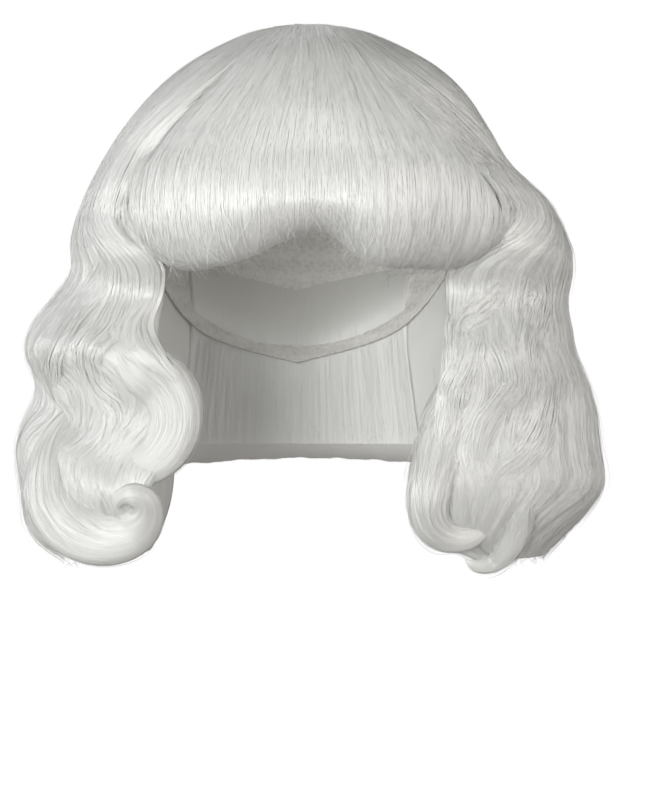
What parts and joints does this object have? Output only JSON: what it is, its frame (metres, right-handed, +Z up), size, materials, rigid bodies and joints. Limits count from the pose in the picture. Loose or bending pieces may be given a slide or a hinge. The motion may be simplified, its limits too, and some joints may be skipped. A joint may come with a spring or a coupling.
{
  "type": "santa wig",
  "caption": "White waved costume wig: smooth domed crown, fringe rolled under at the brow, shoulder-length sides ending in curls, and an open hollow for the head.",
  "frame": {"origin": "inside of the cap's top, where the top of the wearer's head bears", "axes": "+Z up along the head's axis, -Y the way the wearer faces, +X the wearer's left"},
  "size_m": [0.2969, 0.2467, 0.2752],
  "materials": {
    "hair": "silky synthetic fibre",
    "cap": "fine stretch net"
  },
  "bodies": {
    "root": {"wig_cap": "cap", "crown_hair": "hair", "fringe": "hair", "back_hair": "hair", "right_end_curl": "hair", "right_cheek_curl": "hair", "left_cheek_curl": "hair", "left_end_curl": "hair", "right_side_hair": "hair", "left_side_hair": "hair"}
  },
  "joints": []
}
